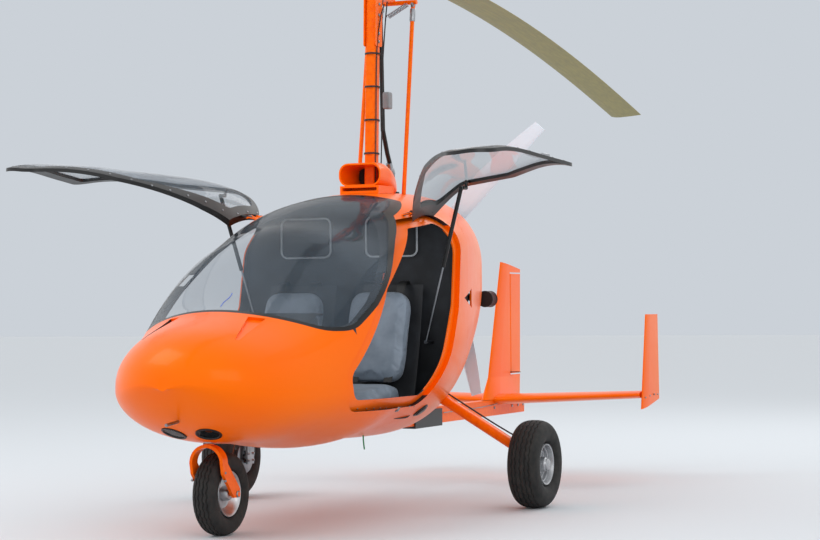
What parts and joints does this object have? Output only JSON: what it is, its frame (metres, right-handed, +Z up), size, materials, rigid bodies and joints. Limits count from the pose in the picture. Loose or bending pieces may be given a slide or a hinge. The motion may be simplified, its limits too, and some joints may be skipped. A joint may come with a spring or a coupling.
{
  "type": "two-seat enclosed gyrocopter",
  "caption": "Enclosed side-by-side gyrocopter on tricycle gear with raised gull doors, teetering rotor, pusher propeller and triple-fin tail",
  "frame": {"origin": "on the ground under the rotor hub, midway between the blade tips and between the main wheels", "axes": "+X forward to the nose, along the rotor blades as they rest; +Y to port; +Z up"},
  "size_m": [8.5348, 2.6676, 2.788],
  "materials": {
    "bare_alloy": "satin",
    "black_frame": "satin",
    "black_strut": "satin",
    "blade_skin": "satin",
    "cabin_black": "matte",
    "engine_grey": "satin",
    "floor_grey": "matte",
    "lamp_glass": "gloss",
    "orange_metal": "gloss",
    "orange_paint": "gloss",
    "rim_alloy": "satin",
    "seat_cloth": "matte",
    "steel": "satin",
    "tinted_glass": "gloss",
    "tyre_rubber": "matte",
    "white_blade": "gloss"
  },
  "bodies": {
    "airframe": {"fuselage_shell": "orange_paint", "engine_cowl_port": "orange_paint", "engine_cowl_starboard": "orange_paint", "windshield_pane": "tinted_glass", "windshield_band": "black_frame", "bulkhead": "cabin_black", "floor_pan": "floor_grey", "keel_beam": "orange_metal", "gear_bow": "orange_metal", "mast": "orange_metal", "mast_cheeks": "orange_metal", "axle_port": "bare_alloy", "axle_starboard": "bare_alloy", "steering_bearing": "bare_alloy", "centre_fin": "orange_paint", "tail_plane": "orange_paint", "tip_fin_port": "orange_paint", "tip_fin_starboard": "orange_paint", "rotor_head": "steel", "torque_bar": "orange_metal", "engine": "engine_grey", "engine_mount": "bare_alloy", "air_filter": "cabin_black", "seat_port": "seat_cloth", "seat_starboard": "seat_cloth", "instrument_panel": "cabin_black", "control_sticks": "steel", "cabin_levers": "steel", "rudder_pedals": "steel", "intake_scoop": "orange_paint", "control_rods": "orange_metal", "pitot_tube": "steel", "centre_console": "cabin_black", "keel_sleeve": "black_strut", "landing_lights": "lamp_glass", "spin_up_shaft": "black_strut"},
    "wheel_port": {"main_tyre_port": "tyre_rubber", "main_rim_port": "rim_alloy"},
    "wheel_starboard": {"main_tyre_starboard": "tyre_rubber", "main_rim_starboard": "rim_alloy"},
    "nose_fork": {"nose_fork": "orange_metal"},
    "nose_wheel": {"nose_tyre": "tyre_rubber", "nose_rim": "rim_alloy"},
    "rudder": {"rudder": "orange_paint"},
    "rotor_shaft": {"teeter_tower": "steel"},
    "rotor": {"hub_bar": "bare_alloy", "blade_fore": "blade_skin", "blade_aft": "blade_skin"},
    "propeller": {"propeller_hub": "bare_alloy", "propeller_blades": "white_blade"},
    "door_port": {"door_frame_port": "black_frame", "door_pane_port": "tinted_glass"},
    "door_starboard": {"door_frame_starboard": "black_frame", "door_pane_starboard": "tinted_glass"},
    "strut_tube_port": {"strut_tube_port": "black_strut"},
    "strut_tube_starboard": {"strut_tube_starboard": "black_strut"},
    "strut_rod_port": {"strut_rod_port": "steel"},
    "strut_rod_starboard": {"strut_rod_starboard": "steel"}
  },
  "joints": [
    {"name": "main_wheel_port", "type": "hinge", "parent": "airframe", "child": "wheel_port", "pos_m": [0.04, 0.856, 0.2175], "axis": [0, 1, 0], "continuous": true},
    {"name": "main_wheel_starboard", "type": "hinge", "parent": "airframe", "child": "wheel_starboard", "pos_m": [0.04, -0.856, 0.2175], "axis": [0, 1, 0], "continuous": true},
    {"name": "nose_steering", "type": "hinge", "parent": "airframe", "child": "nose_fork", "pos_m": [1.8, 0, 0.41], "axis": [0, 0, 1], "range_deg": [-22, 22]},
    {"name": "nose_wheel_spin", "type": "hinge", "parent": "nose_fork", "child": "nose_wheel", "pos_m": [1.69, 0, 0.1845], "axis": [0, 1, 0], "continuous": true},
    {"name": "rudder_turn", "type": "hinge", "parent": "airframe", "child": "rudder", "pos_m": [-1.82799, 0, 0.86], "axis": [0, 0, 1], "range_deg": [-26.4, 26.4]},
    {"name": "rotor_spin", "type": "hinge", "parent": "airframe", "child": "rotor_shaft", "pos_m": [0, 0, 2.7], "axis": [0, 0, 1], "continuous": true},
    {"name": "rotor_teeter", "type": "hinge", "parent": "rotor_shaft", "child": "rotor", "pos_m": [0, 0, 2.77], "axis": [-0.0236, 0.9997, 0], "range_deg": [-7, 7]},
    {"name": "propeller_spin", "type": "hinge", "parent": "airframe", "child": "propeller", "pos_m": [-0.752, 0, 1.355], "axis": [1, 0, 0], "continuous": true},
    {"name": "door_port", "type": "hinge", "parent": "airframe", "child": "door_port", "pos_m": [0.45, 0.46, 1.461], "axis": [0.996, -0.0847, -0.0299], "range_deg": [-94, 0]},
    {"name": "strut_pivot_port", "type": "hinge", "parent": "door_port", "child": "strut_tube_port", "pos_m": [0.49253, 0.66022, 1.57242], "axis": [0.996, -0.0847, -0.0299], "range_deg": [0, 95.96]},
    {"name": "strut_slide_port", "type": "slide", "parent": "strut_tube_port", "child": "strut_rod_port", "axis": [-0.0518, -0.2697, -0.9616], "range_m": [-0.3399, 0]},
    {"name": "door_starboard", "type": "hinge", "parent": "airframe", "child": "door_starboard", "pos_m": [0.45, -0.46, 1.461], "axis": [0.996, 0.0847, -0.0299], "range_deg": [0, 94]},
    {"name": "strut_pivot_starboard", "type": "hinge", "parent": "door_starboard", "child": "strut_tube_starboard", "pos_m": [0.49253, -0.66022, 1.57242], "axis": [0.996, 0.0847, -0.0299], "range_deg": [-95.96, 0]},
    {"name": "strut_slide_starboard", "type": "slide", "parent": "strut_tube_starboard", "child": "strut_rod_starboard", "axis": [-0.0518, 0.2697, -0.9616], "range_m": [-0.3399, 0]}
  ],
  "couplings": [
    {"joint": "rudder_turn", "follows": "nose_steering", "ratio": -1.2},
    {"joint": "strut_pivot_port", "follows": "door_port", "ratio": -1.0187},
    {"joint": "strut_slide_port", "follows": "door_port", "m_per_rad": 0.20656},
    {"joint": "strut_pivot_starboard", "follows": "door_starboard", "ratio": -1.0187},
    {"joint": "strut_slide_starboard", "follows": "door_starboard", "m_per_rad": -0.20656}
  ]
}
